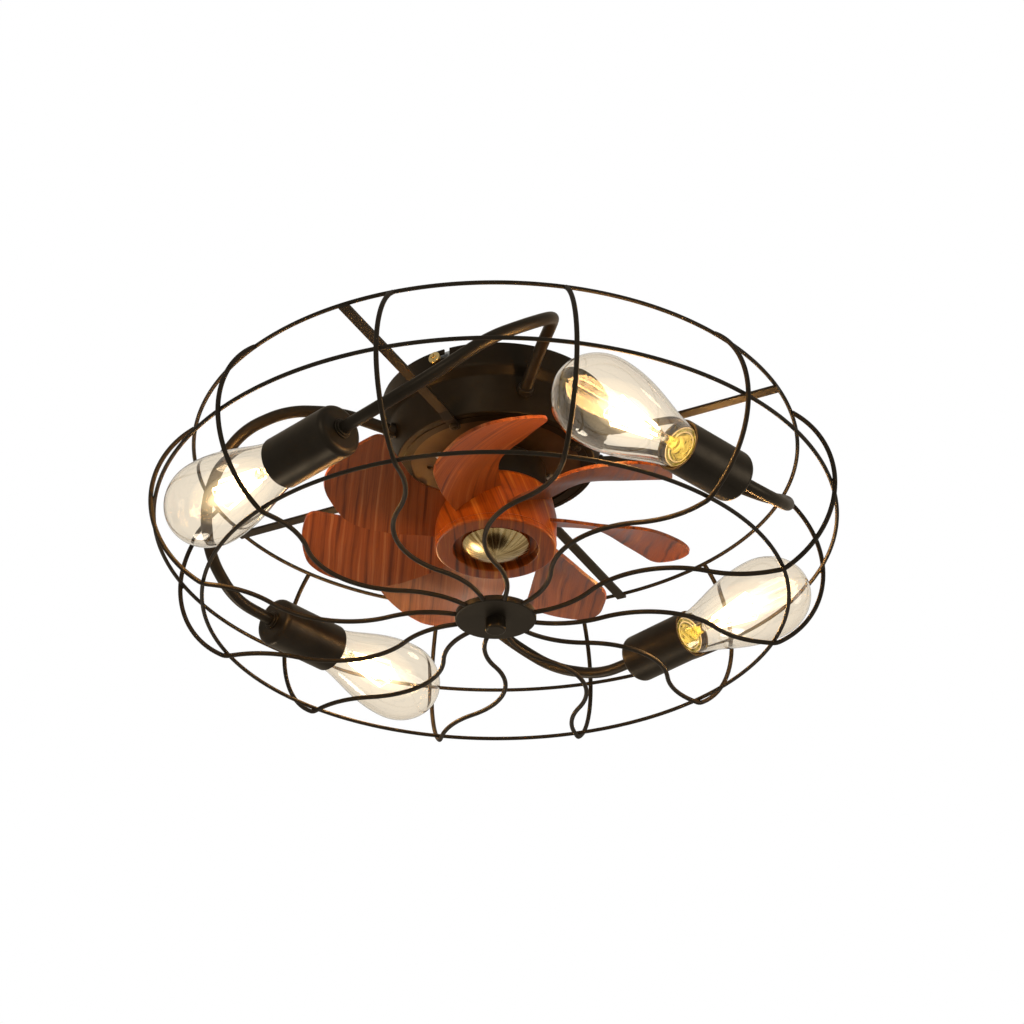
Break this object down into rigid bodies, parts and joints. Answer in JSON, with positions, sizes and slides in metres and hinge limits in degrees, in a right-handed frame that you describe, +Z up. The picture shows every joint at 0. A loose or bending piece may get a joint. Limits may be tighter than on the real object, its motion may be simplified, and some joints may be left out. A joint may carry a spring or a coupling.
{
  "type": "ceiling fan with light",
  "caption": "Flush-mount ceiling fan with swept wood-grain blades inside a round black wire cage, with bent arms holding clear filament bulbs.",
  "frame": {"origin": "centre of the mounting bracket's top face, on the ceiling plane", "axes": "+Z up towards the ceiling, along the fan's axis; the bracket's two slots lie along X"},
  "size_m": [0.5109, 0.511, 0.196],
  "materials": {
    "dark_bronze": "satin",
    "zinc_steel": "satin",
    "screw_brass": "satin",
    "receiver_plastic": "matte",
    "terminal_plastic": "matte",
    "core_iron": "satin",
    "copper_enamel": "gloss",
    "motor_black": "satin",
    "magnet_grey": "matte",
    "bearing_steel": "gloss",
    "hub_wood": "satin",
    "blade_wood": "satin",
    "dome_plate": "polished",
    "shell_brass": "satin",
    "lamp_brass": "satin",
    "socket_plastic": "matte",
    "wire_sleeve": "matte",
    "bulb_glass": "clear",
    "stem_glass": "clear",
    "filament_glow": "glowing"
  },
  "bodies": {
    "housing": {"mounting_bracket": "zinc_steel", "canopy": "dark_bronze", "canopy_screws": "screw_brass", "motor_housing": "dark_bronze", "housing_plate": "dark_bronze", "motor_hanger": "zinc_steel", "housing_screws": "zinc_steel", "motor_bolts": "zinc_steel", "spoke_screws": "dark_bronze", "remote_receiver": "receiver_plastic", "terminal_block": "terminal_plastic", "stator_core": "core_iron", "stator_windings": "copper_enamel", "shaft_nut": "zinc_steel", "arm_collars": "dark_bronze", "socket_cores": "socket_plastic", "socket_nuts": "zinc_steel", "screw_shells": "shell_brass", "lamp_wires": "wire_sleeve", "bulb_stems": "stem_glass", "bulb_filaments": "filament_glow", "cage_top_ring": "dark_bronze", "cage_middle_ring": "dark_bronze", "cage_base_ring": "dark_bronze", "cage_ribs": "dark_bronze", "cage_disc": "dark_bronze", "cage_knob": "dark_bronze", "cage_spokes": "dark_bronze", "arm_1": "dark_bronze", "socket_cup_1": "dark_bronze", "bulb_base_1": "lamp_brass", "bulb_glass_1": "bulb_glass", "arm_2": "dark_bronze", "socket_cup_2": "dark_bronze", "bulb_base_2": "lamp_brass", "bulb_glass_2": "bulb_glass", "arm_3": "dark_bronze", "socket_cup_3": "dark_bronze", "bulb_base_3": "lamp_brass", "bulb_glass_3": "bulb_glass", "arm_4": "dark_bronze", "socket_cup_4": "dark_bronze", "bulb_base_4": "lamp_brass", "bulb_glass_4": "bulb_glass"},
    "rotor": {"rotor_can": "motor_black", "rotor_cover": "motor_black", "rotor_magnets": "magnet_grey", "upper_bearing": "bearing_steel", "lower_bearing": "bearing_steel", "fan_hub": "hub_wood", "hub_lip": "hub_wood", "hub_dome": "dome_plate", "hub_screws": "zinc_steel", "blade_1": "blade_wood", "blade_2": "blade_wood", "blade_3": "blade_wood", "blade_4": "blade_wood", "blade_5": "blade_wood", "blade_6": "blade_wood", "blade_7": "blade_wood"}
  },
  "joints": [
    {"name": "fan_spin", "type": "hinge", "parent": "housing", "child": "rotor", "pos_m": [0, 0, -0.069], "axis": [0, 0, 1], "continuous": true}
  ]
}
